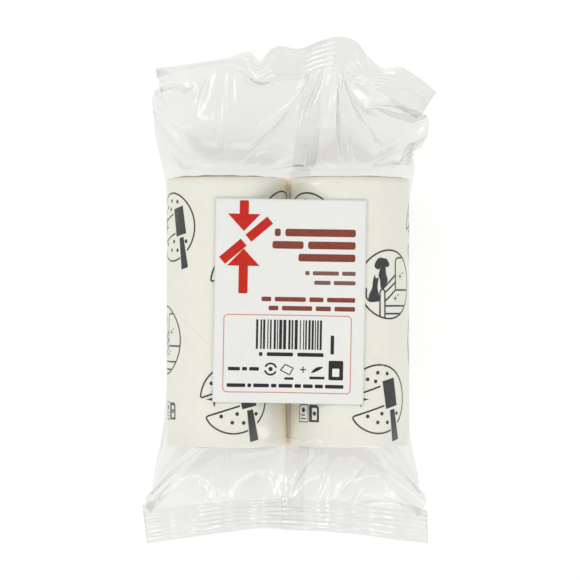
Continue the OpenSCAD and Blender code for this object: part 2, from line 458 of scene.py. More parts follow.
def ramp(t, fac, stops):
    """Colours by a value between 0 and 1; each stop is a place and a colour, or a place and a grey."""
    stops = [(at, colour if isinstance(colour, tuple) else (colour,) * 3) for at, colour in stops]
    n = t.nodes.new("ShaderNodeValToRGB")
    for end, (at, colour) in zip(n.color_ramp.elements, (stops[0], stops[-1])):
        end.position, end.color = at, (*colour, 1)
    for at, colour in stops[1:-1]:
        n.color_ramp.elements.new(at).color = (*colour, 1)
    t.links.new(fac, n.inputs[0])
    return n.outputs[0]


def object_xyz(t):
    """The object's own x, y and z."""
    at = t.nodes.new("ShaderNodeTexCoord").outputs["Object"]
    part = t.nodes.new("ShaderNodeSeparateXYZ")
    t.links.new(at, part.inputs[0])
    return part.outputs


def noise(t, scale, detail=3.0, rough=0.5, stretch=None):
    """A cloudy value between 0 and 1 over the object."""
    at = t.nodes.new("ShaderNodeTexCoord").outputs["Object"]
    if stretch:
        m = t.nodes.new("ShaderNodeMapping")
        m.inputs["Scale"].default_value = stretch
        t.links.new(at, m.inputs["Vector"])
        at = m.outputs[0]
    n = t.nodes.new("ShaderNodeTexNoise")
    n.inputs["Scale"].default_value = scale
    n.inputs["Detail"].default_value = detail
    n.inputs["Roughness"].default_value = rough
    t.links.new(at, n.inputs["Vector"])
    return n.outputs[0]


def bump(t, height, strength, distance):
    """A relief from a height."""
    n = t.nodes.new("ShaderNodeBump")
    n.inputs["Strength"].default_value = strength
    n.inputs["Distance"].default_value = distance
    t.links.new(height, n.inputs["Height"])
    return n.outputs[0]


def layered(t, share, below, above):
    """One shader over another by a share."""
    n = t.nodes.new("ShaderNodeMixShader")
    for i, socket in enumerate((share, below, above)):
        t.links.new(socket, n.inputs[i])
    return n.outputs[0]


def clear_film(name, through_colour, haze, most):
    """Thin clear film: light passes, a little is scattered, and the most that is reflected is a given share.

    The film scatters less where it is stretched over the rolls than where it is loose beyond them."""
    m, t, out = material(name)
    normal = bump(t, noise(t, 900, 2.0), 0.08, 0.0002)
    clear = node(t, "ShaderNodeBsdfTransparent", Color=(*through_colour, 1))
    gloss = node(t, "ShaderNodeBsdfGlossy", Color=(1, 1, 1, 1))
    rub = maths(t, "MULTIPLY_ADD", noise(t, 140, 2.0), 0.24, 0.02)
    t.links.new(rub, gloss.inputs["Roughness"])
    white = node(t, "ShaderNodeBsdfDiffuse", Color=(0.74, 0.74, 0.72, 1))
    t.links.new(normal, gloss.inputs["Normal"])
    edge = node(t, "ShaderNodeFresnel", IOR=1.46)
    t.links.new(normal, edge.inputs["Normal"])
    share = maths(t, "MINIMUM", edge.outputs[0], most)
    off_middle = maths(t, "MULTIPLY", maths(t, "ABSOLUTE", object_xyz(t)[1]), 10)
    loose = ramp(t, off_middle, [(0.46, 0.04), (0.56, 1.0)])
    cloud = ramp(t, noise(t, 60, 3.0), [(0.3, haze * 0.6), (0.75, haze * 1.4)])
    body = layered(t, maths(t, "MULTIPLY", cloud, loose), clear.outputs[0], white.outputs[0])
    t.links.new(layered(t, share, body, gloss.outputs[0]), out.inputs[0])
    return m


# How far from the plane between the rolls the painted light on the wrap paper reaches, in mm.
PAINTED_LIGHT_REACH = 9
SHEET_T = 0.107


def fibre(name, dark, light, rough, scale=260, stretch=None, relief=0.15, depth=0.0001, gloss=0.3, side=None):
    """Paper or card: two close tones in a fibre pattern, with a faint relief.

    A third tone, side, comes in near the plane between the two rolls: painted light, a brighter and warmer
    paper colour standing in for light bounced into the valley between the rolls, where it would fall in
    shade."""
    m, t, out = material(name)
    fine = noise(t, scale, 6.0, 0.65, stretch)
    broad = noise(t, scale / 14, 2.0)
    mix = maths(t, "ADD", maths(t, "MULTIPLY", fine, 0.6), maths(t, "MULTIPLY", broad, 0.4))
    bs = node(t, "ShaderNodeBsdfPrincipled", Roughness=rough)
    bs.inputs["Specular IOR Level"].default_value = gloss
    tone = ramp(t, mix, [(0.3, dark), (0.7, light)])
    # Painted light: the paper turns brighter and warmer towards the plane between the rolls, in place of
    # light bounced into the shaded valley there.
    if side:
        off = maths(t, "ABSOLUTE", object_xyz(t)[0])
        painted_light_blend = node(t, "ShaderNodeMix", data_type="RGBA")
        near = maths(t, "SUBTRACT", 1.0, maths(t, "MULTIPLY", off, 1 / (PAINTED_LIGHT_REACH * MM)), clamp=True)
        t.links.new(maths(t, "POWER", near, 4.0), painted_light_blend.inputs[0])
        t.links.new(tone, painted_light_blend.inputs[6])
        painted_light_blend.inputs[7].default_value = (*side, 1)
        tone = painted_light_blend.outputs[2]
    t.links.new(tone, bs.inputs["Base Color"])
    t.links.new(bump(t, fine, relief, depth), bs.inputs["Normal"])
    t.links.new(bs.outputs[0], out.inputs[0])
    return m


def sheet_edges(name):
    """The rolled sheets: white paper whose cut edges show as fine rings round each roll."""
    m, t, out = material(name)
    x, _, z = object_xyz(t)
    dx = maths(t, "SUBTRACT", maths(t, "ABSOLUTE", x), ROLL_X * MM)
    dz = maths(t, "SUBTRACT", z, ROLL_Z * MM)
    r = maths(t, "SQRT", maths(t, "ADD", maths(t, "MULTIPLY", dx, dx), maths(t, "MULTIPLY", dz, dz)))
    ring = maths(t, "PINGPONG", maths(t, "MULTIPLY", r, 1 / (SHEET_T * MM)), 0.5)
    grain = noise(t, 700, 4.0)
    tone = maths(t, "ADD", maths(t, "MULTIPLY", ring, 0.9), maths(t, "MULTIPLY", grain, 0.5))
    tone = ramp(t, tone, [(0.15, (0.6, 0.57, 0.48)), (0.7, (0.83, 0.81, 0.74))])
    bs = node(t, "ShaderNodeBsdfPrincipled", Roughness=0.55)
    t.links.new(tone, bs.inputs["Base Color"])
    t.links.new(bs.outputs[0], out.inputs[0])
    return m


def ink(name, colour, paler):
    """Dull ink in two close tones."""
    m, t, out = material(name)
    bs = node(t, "ShaderNodeBsdfPrincipled", Roughness=0.6)
    bs.inputs["Specular IOR Level"].default_value = 0.15
    t.links.new(ramp(t, noise(t, 900, 3.0), [(0.3, colour), (0.75, paler)]), bs.inputs["Base Color"])
    t.links.new(bs.outputs[0], out.inputs[0])
    return m


film_look = clear_film("clear_film", (0.936, 0.935, 0.926), 0.075, 0.16)
seal_look = clear_film("pressed_film", (0.907, 0.906, 0.896), 0.075, 0.3)
fin_look = clear_film("fin_film", (0.98, 0.98, 0.975), 0.02, 0.12)
# The wrap's side tone is painted light: a brighter, warmer colour in the valley between the rolls.
wrap_look = fibre("wrap_paper", (0.775, 0.77, 0.69), (0.825, 0.82, 0.745), 0.55, 300, side=(0.98, 0.86, 0.62))
label_look = fibre("label_paper", (0.64, 0.64, 0.615), (0.68, 0.68, 0.655), 0.35, 320, relief=0.05)
card_look = fibre("core_card", (0.30, 0.20, 0.11), (0.52, 0.38, 0.23), 0.85, 330, (1, 0.3, 1), 0.5)
sheet_look = sheet_edges("sheet_paper")
print_ink = ink("print_ink", (0.016, 0.016, 0.018), (0.03, 0.03, 0.033))
red_ink = ink("red_ink", (0.42, 0.014, 0.007), (0.47, 0.024, 0.012))
brown_ink = ink("brown_ink", (0.17, 0.04, 0.025), (0.21, 0.055, 0.034))
pale_ink = ink("pale_red_ink", (0.52, 0.19, 0.15), (0.56, 0.24, 0.2))
grey_ink = ink("grey_ink", (0.15, 0.075, 0.06), (0.19, 0.1, 0.08))
cut_look = ink("cut_line", (0.70, 0.685, 0.60), (0.74, 0.725, 0.64))

# ======================================== the film under the label

cos_t, sin_t = math.cos(LABEL_TURN), math.sin(LABEL_TURN)
NX, NY = 57, 77
BRIDGE_PASSES = 400
FADE_SIDE, FADE_END, FADE_ROLL_END = 2.5, 16, 4
gx = np.linspace(-LABEL_W / 2, LABEL_W / 2, NX)
gy = np.linspace(-LABEL_H / 2, LABEL_H / 2, NY)


def label_heights():
    """Height of the film under the label, which the stiff paper bridges where the film would sink."""
    web = points(FILM)
    bvh = BVHTree.FromPolygons(web.tolist(), ring_faces(FILM.shape[1], FILM.shape[2]).tolist())
    out = np.zeros((NY, NX))
    for j, b in enumerate(gy):
        for i, a in enumerate(gx):
            x, y = LABEL_X + a * cos_t - b * sin_t, LABEL_Y + a * sin_t + b * cos_t
            out[j, i] = bvh.ray_cast(Vector((x, y, 200)), Vector((0, 0, -1)))[0].z
    for _ in range(BRIDGE_PASSES):
        pad = np.pad(out, 1, mode="reflect", reflect_type="odd")
        soft = (pad[:-2, 1:-1] + pad[2:, 1:-1] + pad[1:-1, :-2] + pad[1:-1, 2:]) / 4
        out = np.maximum(out, soft)
    return out


def height_at(a, b):
    """Height of the film at places on the label, a across it and b up it."""
    i = np.clip((a + LABEL_W / 2) / LABEL_W * (NX - 1), 0, NX - 1.001)
    j = np.clip((b + LABEL_H / 2) / LABEL_H * (NY - 1), 0, NY - 1.001)
    i0, j0 = np.floor(i).astype(int), np.floor(j).astype(int)
    p, q = i - i0, j - j0
    low = height[j0, i0] * (1 - p) + height[j0, i0 + 1] * p
    high = height[j0 + 1, i0] * (1 - p) + height[j0 + 1, i0 + 1] * p
    return low * (1 - q) + high * q


def stick_film():
    """Draws the front layer of the film to the back of the label, fading out round it."""
    front = FILM[:, :, 1:HALF]
    dx, dy = front[0] - LABEL_X, front[1] - LABEL_Y
    a, b = dx * cos_t + dy * sin_t, dy * cos_t - dx * sin_t
    off_side = np.maximum(np.abs(a) - LABEL_W / 2, 0) / FADE_SIDE
    off_end = np.maximum(np.abs(b) - LABEL_H / 2, 0) / FADE_END
    w = np.clip(1 - np.hypot(off_side, off_end), 0, 1)
    middle = (ROLL_Y0 + ROLL_Y1) / 2
    on_rolls = np.clip(0.1 + (ROLL_Y1 - np.abs(front[1] - middle) - middle) / FADE_ROLL_END, 0, 1)
    w = w * w * (3 - 2 * w) * (front[2] > ROLL_Z) * on_rolls
    front[2] += (np.maximum(height_at(a, b), front[2]) - front[2]) * w


height = label_heights()
stick_film()

# ======================================== film pieces


def cut_row(y_limit, head):
    """The last row of the web that stays wholly on the rolls' side of a fold."""
    if head:
        rows = [j for j in range(FILM.shape[1]) if FILM[1, j].max() > y_limit]
        return min(rows) - 1
    rows = [j for j in range(FILM.shape[1]) if FILM[1, j].min() < y_limit]
    return max(rows) + 1


# The film is cut this far on the rolls' side of a fold.
CUT_OFF, BLEND_OFF = 5, 4
HEAD_CUT = cut_row(HEAD_FOLD - CUT_OFF, True)
FOOT_CUT = cut_row(FOOT_FOLD + CUT_OFF, False)
RIDGES, RIDGE_PITCH, RIDGE_LEAD, RIDGE_H = 5, 2.0, 1.3, 0.13
# Each row of a seal becomes this many, its layers lie this far off the middle, past a closing length.
SUB, SEAL_GAP, SEAL_CLOSE = 3, 0.05, 0.7
IRON_LEAD = 3.0


def ridge_height(v):
    """Height of the pressed ridges at a distance v from the seal's root."""
    inside = (v > RIDGE_LEAD) & (v < RIDGE_LEAD + RIDGES * RIDGE_PITCH)
    return np.where(inside, RIDGE_H * np.sin(2 * np.pi * (v - RIDGE_LEAD) / RIDGE_PITCH), 0)


def ironed(src, aim, reach=4.0):
    """A seal's points with small ripples off its drawn shape pressed out, more so away from the root."""
    sigma = reach / (GIRTH / src.shape[2])
    k = int(3 * sigma)
    w = np.exp(-0.5 * (np.arange(-k, k + 1) / sigma) ** 2)
    half = (src - aim)[:, :, :HALF + 1]
    wide = np.pad(half, ((0, 0), (0, 0), (k, k)), mode="reflect", reflect_type="odd")
    soft = sum(w[i] / w.sum() * wide[:, :, i:i + HALF + 1] for i in range(2 * k + 1))
    t = np.clip(np.arange(src.shape[1]) * ROW_MM / IRON_LEAD, 0, 1)[None, :, None]
    half = aim[:, :, :HALF + 1] + half + (soft - half) * t * t * (3 - 2 * t)
    return np.concatenate([half, half[:, :, HALF - 1:0:-1]], axis=2)


def band_points(rows_from_root, aim):
    """A seal's two welded layers with their ridges, in finer rows, from the root to the lip."""
    src = ironed(rows_from_root, aim)
    n = src.shape[1]
    t = np.linspace(0, n - 1, (n - 1) * SUB + 1)
    j = np.minimum(t.astype(int), n - 2)
    q = (t - j)[None, :, None]
    fine = src[:, j] * (1 - q) + src[:, j + 1] * q
    up = outward(fine)
    up[:, :, HALF + 1:] = up[:, :, HALF - 1:0:-1]
    v = t * ROW_MM
    gap = np.full(fine.shape[2], SEAL_GAP)
    gap[0] = gap[HALF] = 0
    gap[HALF + 1:] *= -1
    fade = np.minimum(v / SEAL_CLOSE, 1)[None, :, None]
    return fine + up * (ridge_height(v)[None, :, None] + gap[None, None, :] * fade)


# The folded seam: its width and steps across, its height off the film at the fold and beyond it, the
# distance between its layers, and the height and pitch of its ridges.
FIN_W, FIN_STEPS = 9.0, 36
FIN_ROOT, FIN_GAP, FIN_LAYER = 0.02, 0.22, 0.08
FIN_RIDGE_H, FIN_RIDGE_PITCH = 0.05, 1.5


def fin_strip(P):
    """The folded seam with its long pressed ridges: two layers of film against the back of the bag."""
    cols = P.shape[2]
    across = np.linspace(0, 1, FIN_STEPS + 1)
    u = cols * 0.75 - across * FIN_W / (GIRTH / cols)
    i = np.floor(u).astype(int)
    q = (u - i)[None, None, :]
    n = outward(P)
    a = P[:, :, i] * (1 - q) + P[:, :, i + 1] * q
    m = n[:, :, i] * (1 - q) + n[:, :, i + 1] * q
    ridges = FIN_RIDGE_H * np.sin(across * FIN_W * 2 * math.pi / FIN_RIDGE_PITCH)
    lift = FIN_GAP + (ridges + 0.05 * np.sin(a[1] / 9) * across)[None]
    lift[:, :, 0] = FIN_ROOT
    near, far = a + m * lift, a + m * (lift + FIN_LAYER)
    clear_rolls(near)
    clear_rolls(far)
    far[:, :, 0] = near[:, :, 0]
    loop = np.concatenate([near, far[:, :, :0:-1]], axis=2)
    return points(loop), ring_faces(loop.shape[1], loop.shape[2])


def film_end(name, head):
    """The last of the film at one end: the closing panel past the cut, the seal, and the folded seam."""
    foot_aim, head_aim = seal_places(LEVEL)
    if head:
        panel = FILM[:, HEAD_CUT:FILM.shape[1] - BAND]
        band = band_points(FILM[:, FILM.shape[1] - 1 - BAND:], head_aim)
    else:
        panel = FILM[:, FOOT_CUT:BAND:-1]
        band = band_points(FILM[:, BAND::-1], foot_aim[:, ::-1])
    P = np.concatenate([panel[:, :-1] if head else panel, band], axis=1)
    web = ring_faces(P.shape[1], P.shape[2], flip=not head)
    fin_co, fin_faces = fin_strip(P if head else P[:, ::-1])
    all_faces = np.concatenate([web, fin_faces + P.shape[1] * P.shape[2]])
    obj = piece(name, np.concatenate([points(P), fin_co]), all_faces, film_look)
    obj.data.materials.append(seal_look)
    obj.data.materials.append(fin_look)
    first = P.shape[1] - band.shape[1]
    seal = np.zeros(len(obj.data.polygons), int)
    seal[first * P.shape[2]:len(web)] = 1
    seal[len(web):] = 2
    obj.data.polygons.foreach_set("material_index", seal)
    return obj


body_rows = FILM[:, FOOT_CUT:HEAD_CUT + 1]
body_faces = ring_faces(body_rows.shape[1], body_rows.shape[2])
film_body = piece("film_body", points(body_rows), body_faces, film_look)
film_top = film_end("film_top", True)
film_bottom = film_end("film_bottom", False)

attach(film_body, "bag")
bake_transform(film_top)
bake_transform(film_bottom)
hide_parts("film_front_wall", "film_back_wall", "film_head", "film_foot")
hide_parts("top_crimp_seal")
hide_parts("bottom_crimp_seal")

fin = piece("back_fin", *fin_strip(body_rows), fin_look)
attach(fin, "bag")
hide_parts("back_fin_seal")

# ======================================== rolls

TURN = 2 * math.pi


def around(side, r, phi, y):
    """A point at radius r from a roll's axis, at an angle from its front, clockwise seen from the foot."""
    return np.stack([side * ROLL_X + r * np.sin(phi), y, ROLL_Z + r * np.cos(phi)])


def ragged(phi, seed, size):
    """An uneven cut edge that closes on itself."""
    rng = np.random.default_rng(seed)
    out = np.zeros_like(phi)
    for k in (1, 2, 3, 5, 8, 13, 21, 34):
        out += rng.normal(0, 1 / math.sqrt(k)) * np.sin(k * phi + rng.uniform(0, TURN))
    return size * out / 2.2


def tube(name, side, r_in, r_out, y0, y1, look, n=144, rows=26):
    """A closed tube of paper or card with its own thickness; radii and ends may vary round it."""
    phi = np.arange(n) * TURN / n
    t = np.linspace(0, 1, rows)[:, None]
    y = y0(phi)[None, :] * (1 - t) + y1(phi)[None, :] * t
    grid = np.broadcast_to(phi, y.shape)
    outer = around(side, r_out(grid, y), grid, y)
    inner = around(side, r_in(grid, y), grid, y)
    loop = np.concatenate([outer, inner[:, ::-1], outer[:, :1]], axis=1)
    obj = piece(name, points(loop), ring_faces(loop.shape[1], n, flip=True), look)
    mesh = obj.data
    sharp = np.abs(np.array([p.normal.y for p in mesh.polygons])) > 0.7
    mesh.polygons.foreach_set("use_smooth", ~sharp)
    return obj


def spiral(phi, y, lead, width, depth):
    """A shallow groove that winds along a tube, where one strip of card meets the next."""
    turns = (phi / TURN + y / lead) % 1
    near = np.minimum(turns, 1 - turns) * lead
    return -depth * np.exp(-(near / width) ** 2)


# The card strip of the core: how far it winds along in one turn, and its groove's width and depth.
STRIP_LEAD, STRIP_GROOVE, STRIP_DEPTH = 62, 0.5, 0.04
# How far the two plies stand out at the head, and how uneven they are cut at the foot and at the head.
INNER_OUT, OUTER_OUT = 0.28, 0.45
FOOT_CUT_SIZE, HEAD_CUT_SIZE = 0.14, 0.28


def core(name, side, r_in, r_out, seed, out_mm):
    """One ply of a core; the inner ply has the winding groove inside."""
    return tube(
        name, side,
        lambda p, y: r_in + spiral(-p, y, STRIP_LEAD, STRIP_GROOVE, -STRIP_DEPTH) * (r_in < PLY_R),
        lambda p, y: r_out + 0 * p,
        lambda p: ROLL_Y0 - 0.1 + ragged(p, seed, FOOT_CUT_SIZE),
        lambda p: ROLL_Y1 + out_mm + ragged(p, seed + 1, HEAD_CUT_SIZE),
        card_look, 180, 40,
    )


# The wrap: its thickness, where its end lies over its start, and how thick and how long that step is.
WRAP_T = 0.125
STEP_AT, STEP_H, STEP_L = math.radians(205), 0.1, 14


def wrap_outer(phi, y):
    """The wrap's outside: one turn, the last of it over its own start, and a little full at both sides."""
    back = (phi - STEP_AT) % TURN
    over = np.clip(1 - back * ROLL_R / STEP_L, 0, 1) ** 0.7
    full = 0.05 * np.exp(-(np.cos(phi) / 0.3) ** 2)
    return ROLL_R + STEP_H * over + full + 0.02 * np.sin(3 * phi + y / 17)


for side, name, seed in ((-1, "left", 11), (1, "right", 23)):
    body = name + "_roll"
    ply_in = core(name + "_core_inner", side, BORE_R, PLY_R, seed, INNER_OUT)
    ply_out = core(name + "_core_outer", side, PLY_R, CORE_R, seed + 2, OUTER_OUT)
    wrap = tube(
        name + "_wrap", side,
        lambda p, y: ROLL_R - WRAP_T + 0 * p, wrap_outer,
        lambda p: ROLL_Y0 + ragged(p, seed + 4, 0.05), lambda p: ROLL_Y1 + ragged(p, seed + 5, 0.05),
        wrap_look, 216, 40,
    )
    for obj, stands, look in (
        (ply_in, "_core_inner_ply", "core_card"),
        (ply_out, "_core_outer_ply", "core_card"),
        (wrap, "_printed_wrap", "wrap_paper"),
    ):
        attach(obj, body)
        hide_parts(name + stands)
    for layer in ("inner", "mid_inner", "mid_outer", "outer"):
        sheets = frame["nodes"][name + "_" + layer + "_sheets"]
        sheets.data.materials.clear()
        sheets.data.materials.append(sheet_look)

# ======================================== printed shapes, drawn flat in mm


class Print:
    """Flat printed shapes that are laid on a curved paper by a rule from (x, y) to a point."""

    def __init__(self, lay):
        self.lay, self.co, self.faces = lay, [], []

    def add(self, pts, faces):
        """Points, and faces between them."""
        base = len(self.co)
        self.co += [tuple(p) for p in pts]
        self.faces += [tuple(base + i for i in f) for f in faces]

    def line(self, pts, width):
        """A stroke of even width with round ends."""
        pts = np.array(pts, float)
        fine = [pts[0]]
        for a, b in zip(pts[:-1], pts[1:]):
            k = max(1, int(math.ceil(np.linalg.norm(b - a) / 0.9)))
            fine += [a + (b - a) * i / k for i in range(1, k + 1)]
        p = np.array(fine)
        d = np.gradient(p, axis=0)
        d /= np.linalg.norm(d, axis=1)[:, None] + 1e-9
        n = np.stack([-d[:, 1], d[:, 0]], -1) * width / 2
        left, right = p + n, p - n
        m = len(p)
        self.add(list(left) + list(right), [(i, m + i, m + i + 1, i + 1) for i in range(m - 1)])
        self.disc(*p[0], width / 2, 10)
        self.disc(*p[-1], width / 2, 10)

    def arc(self, cx, cy, r, a0, a1, width):
        """A stroke along an arc, with its angles in degrees."""
        a = np.radians(np.linspace(a0, a1, max(8, int(abs(a1 - a0) * r / 45))))
        self.line(np.stack([cx + r * np.cos(a), cy + r * np.sin(a)], -1), width)

    def disc(self, cx, cy, r, n=18):
        """A filled disc."""
        rim = [(cx + r * math.cos(q), cy + r * math.sin(q)) for q in np.arange(n) * TURN / n]
        self.add([(cx, cy)] + rim, [(0, 1 + i, 1 + (i + 1) % n) for i in range(n)])

    def fill(self, outline, step=1.3):
        """A filled shape, cut fine enough to follow the paper."""
        corners = [Vector((*p, 0)) for p in outline]
        tri = [[corners[i] for i in t] for t in tessellate_polygon([corners])]
        longest = max((t[i] - t[i - 1]).length for t in tri for i in range(3))
        for _ in range(max(0, int(math.ceil(math.log2(longest / step))))):
            nxt = []
            for a, b, c in tri:
                ab, bc, ca = (a + b) / 2, (b + c) / 2, (c + a) / 2
                nxt += [[a, ab, ca], [ab, b, bc], [ca, bc, c], [ab, bc, ca]]
            tri = nxt
        for t in tri:
            self.add([(p.x, p.y) for p in t], [(0, 1, 2)])

    def box(self, x0, y0, x1, y1, r=0.0):
        """A filled box, with round corners where r is given."""
        if r <= 0:
            self.fill([(x0, y0), (x1, y0), (x1, y1), (x0, y1)])
            return
        pts = []
        corners = ((x1 - r, y0 + r), (x1 - r, y1 - r), (x0 + r, y1 - r), (x0 + r, y0 + r))
        for (cx, cy), start in zip(corners, (-90, 0, 90, 180)):
            for k in range(5):
                a = math.radians(start + k * 22.5)
                pts.append((cx + r * math.cos(a), cy + r * math.sin(a)))
        self.fill(pts)

    def build(self, name, look):
        """One piece with every shape, laid on its paper."""
        co = np.array([self.lay(x, y) for x, y in self.co])
        return piece(name, co, self.faces, look)


def smooth_shape(pts, n=6):
    """A closed outline with its corners rounded by a curve through every point."""
    p = np.array(pts, float)
    out = []
    for i in range(len(p)):
        a, b, c, d = p[i - 1], p[i], p[(i + 1) % len(p)], p[(i + 2) % len(p)]
        for k in range(n):
            t = k / n
            second, third = 2 * a - 5 * b + 4 * c - d, 3 * b - 3 * c + d - a
            out.append(0.5 * (2 * b + (c - a) * t + second * t * t + third * t ** 3))
    return [tuple(q) for q in out]


DISC_R = 12.7
STROKE = 0.63
THIN_STROKE = 0.35
TAIL_STROKE = 0.6


def at(x, y, *offsets):
    """Places given by their offsets from (x, y)."""
    return [(x + dx, y + dy) for dx, dy in offsets]


def star(p, x, y, r):
    """A sparkle with four points."""
    reach = [r * (0.26 if i % 2 else 1) for i in range(8)]
    p.fill([(x + k * math.cos(i * TURN / 8), y + k * math.sin(i * TURN / 8)) for i, k in enumerate(reach)])


def dotted_disc(p, x, y):
    """A disc of fluff dots with a clean stripe, and a lint roller drawn over it."""
    p.arc(x, y, DISC_R, 223.5, 294, STROKE)
    p.arc(x, y, DISC_R, -43, 175.5, STROKE)
    p.line(at(x, y, (-9.2, -8.7), (-10.2, -7.3), (-10.3, -6.6), (-9.6, -6.1), (2.0, -2.5)), STROKE)
    p.line(at(x, y, (-12.6, 1.0), (-12.2, 0.6), (0.3, 4.7)), STROKE)
    for dot in at(
        x, y, (-0.6, 9.8), (3.6, 9.4), (-4.7, 7.4), (-1.5, 6.6), (-8.4, 5.9), (-7.5, 2.9),
        (-4.7, -6.3), (1.2, -5.4), (-0.6, -8.6), (3.7, -8.7), (8.6, -5.4),
    ):
        p.disc(*dot, 0.72)
    star(p, x - 7.3, y, 3.2)
    p.fill(at(x, y, (1.4, 6.6), (3.1, -3.7), (8.7, -2.4), (6.9, 7.9)))
    p.fill(at(x, y, (5.0, -4.2), (6.2, -15.9), (9.6, -15.0), (7.3, -3.7)))


def chair_disc(p, x, y):
    """A disc with an armchair, a clean sparkle, and two pets sitting by it."""
    p.arc(x, y, DISC_R, 0, 360, STROKE)
    for stroke in (
        [(7.2, 9.9), (4.6, 9.9), (3.6, 9.3), (3.3, 8.4), (3.3, -2.1), (12.1, -2.1)],
        [(-3.0, -1.6), (3.3, 3.6)],
        [(-1.9, -2.9), (3.3, 0.8)],
        [(-1.9, -6.1), (3.3, -2.1)],
        [(-4.3, -11.6), (-4.3, -2.9), (-3.8, -2.0), (-3.2, -1.7), (-2.4, -2.2), (-2.1, -3.0), (-2.1, -12.2)],
        [(-2.0, -8.0), (9.6, -8.0)],
        [(-2.0, -10.9), (6.2, -10.9)],
    ):
        p.line(at(x, y, *stroke), STROKE)
    for sx, sy in at(x, y, (6.3, 3.0), (3.2, -5.2)):
        star(p, sx, sy, 1.3)
        p.disc(sx + 1.7, sy + 1.2, 0.35)
    dog = at(
        x, y, (-5.9, 8.7), (-4.3, 9.9), (-2.4, 9.6), (-1.2, 9.4), (0.1, 7.4), (-0.9, 6.3),
        (-1.6, 6.6), (-1.6, 4.2), (-0.8, 1.2), (-3.0, -1.2), (-4.0, -1.2), (-4.3, 1.6),
        (-4.9, 3.3), (-4.4, 5.7), (-5.3, 5.5), (-6.6, 6.6),
    )
    cat = at(
        x, y, (-6.6, 3.4), (-6.1, 2.4), (-5.5, 2.3), (-4.9, 2.5), (-5.2, 0.4), (-5.3, -1.6), (-4.7, -4.0),
        (-4.7, -6.2), (-6.4, -6.5), (-8.6, -6.4), (-8.9, -4.2), (-7.6, -1.4), (-7.2, 1.4),
    )
    p.fill(smooth_shape(dog, 4))
    p.fill(smooth_shape(cat, 4))
    p.line(at(x, y, (-8.6, -6.2), (-9.8, -5.0), (-9.9, -3.0), (-9.7, -2.1), (-10.2, -1.4)), TAIL_STROKE)


def care_tag(p, x, y):
    """A pair of small boxes, one open and one filled, with plain marks."""
    open_box = at(x, y, (-5.2, -3.2), (-5.2, 2.2), (-4.2, 3.2), (-0.4, 3.2), (-0.4, -3.2), (-5.2, -3.2))
    p.line(open_box, THIN_STROKE)
    p.box(x - 4.3, y - 2.2, x - 1.4, y - 1.8, 0.15)
    p.box(x - 4.3, y - 0.9, x - 1.9, y - 0.5, 0.15)
    p.disc(x - 2.8, y + 1.2, 0.9)
    p.box(x + 0.1, y - 3.2, x + 1.5, y + 3.2, 0.3)
    p.box(x + 3.7, y - 3.2, x + 4.6, y + 2.6, 0.3)
    p.box(x + 1.2, y - 3.2, x + 4.0, y - 2.4)
    p.box(x + 1.2, y + 2.1, x + 4.0, y + 3.2)
    p.disc(x + 2.6, y, 0.8)


PRINT_LIFT, CUT_W = 0.035, 0.16


def wrap_print(side, name, marks, cuts):
    """A wrap's marks and slanted cut lines, at distances round it from the front and along it."""
    def lay(s, y):
        phi = s / ROLL_R
        r = float(wrap_outer(np.array(phi), np.array(y))) + PRINT_LIFT
        return around(side, r, phi, y)

    p = Print(lay)
    for kind, s, y in marks:
        kind(p, s, y)
    obj = p.build(name + "_wrap_print", print_ink)
    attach(obj, name + "_roll")
    q = Print(lay)
    for s0, y0, s1, y1 in cuts:
        q.line([(s0, y0), (s1, y1)], CUT_W)
    obj = q.build(name + "_cut_lines", cut_look)
    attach(obj, name + "_roll")


wrap_print(-1, "left", [
    (dotted_disc, -25.0, 23.3), (dotted_disc, 2.9, -40.6), (dotted_disc, 7.0, 2.4),
    (chair_disc, -32.2, -19.0), (care_tag, -27.3, -45.4), (chair_disc, 26.0, 24.0),
    (dotted_disc, 40.0, -18.0), (chair_disc, 58.0, -42.0), (dotted_disc, 55.0, 16.0), (care_tag, -52.0, 20.0),
], [(-17.5, -11.0, -4.0, -22.5), (20.0, 30.0, 33.0, 19.0), (-46.0, 4.0, -34.0, -6.0)])
wrap_print(1, "right", [
    (dotted_disc, 11.4, -40.6), (chair_disc, 16.0, 1.9), (dotted_disc, -17.9, 23.2),
    (care_tag, -16.5, -46.0), (dotted_disc, 41.0, 22.0), (chair_disc, 43.0, -20.0),
    (chair_disc, -38.0, -20.0), (dotted_disc, -52.0, 12.0), (dotted_disc, 62.0, -40.0),
], [(5.0, -21.8, 15.0, -29.8), (24.0, 33.0, 36.0, 23.0), (-40.0, 30.0, -28.0, 20.0)])

# ======================================== the label on the front of the film

LABEL_T, LABEL_LIFT, PRINT_ON_LABEL = 0.09, 0.14, 0.165


def label_point(a, b, lift):
    """A place on the label: a across it, b up it, lift above the film."""
    z = float(height_at(np.float64(a), np.float64(b)))
    ea, eb = LABEL_W / 2 - abs(a), LABEL_H / 2 - abs(b)
    curl = 0.22 * max(0.0, 1 - ea / 2.5) ** 2 + 0.12 * max(0.0, 1 - eb / 2.0) ** 2
    return (LABEL_X + a * cos_t - b * sin_t, LABEL_Y + a * sin_t + b * cos_t, z + lift + curl)


top = np.array([[label_point(a, b, LABEL_LIFT) for a in gx] for b in gy])
under = top - np.array([0, 0, LABEL_T])
grid = np.concatenate([top.reshape(-1, 3), under.reshape(-1, 3)])
faces = ring_faces(NY, NX, closed=False).tolist()
faces += (ring_faces(NY, NX, closed=False, flip=True) + NX * NY).tolist()
rim = [(0, i) for i in range(NX)] + [(j, NX - 1) for j in range(1, NY)]
rim += [(NY - 1, i) for i in range(NX - 2, -1, -1)] + [(j, 0) for j in range(NY - 2, 0, -1)]
rim = [j * NX + i for j, i in rim]
faces += [(rim[k], rim[k - 1], rim[k - 1] + NX * NY, rim[k] + NX * NY) for k in range(len(rim))]
label = piece("paper_label", grid, faces, label_look)
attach(label, "bag")
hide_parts("front_label")


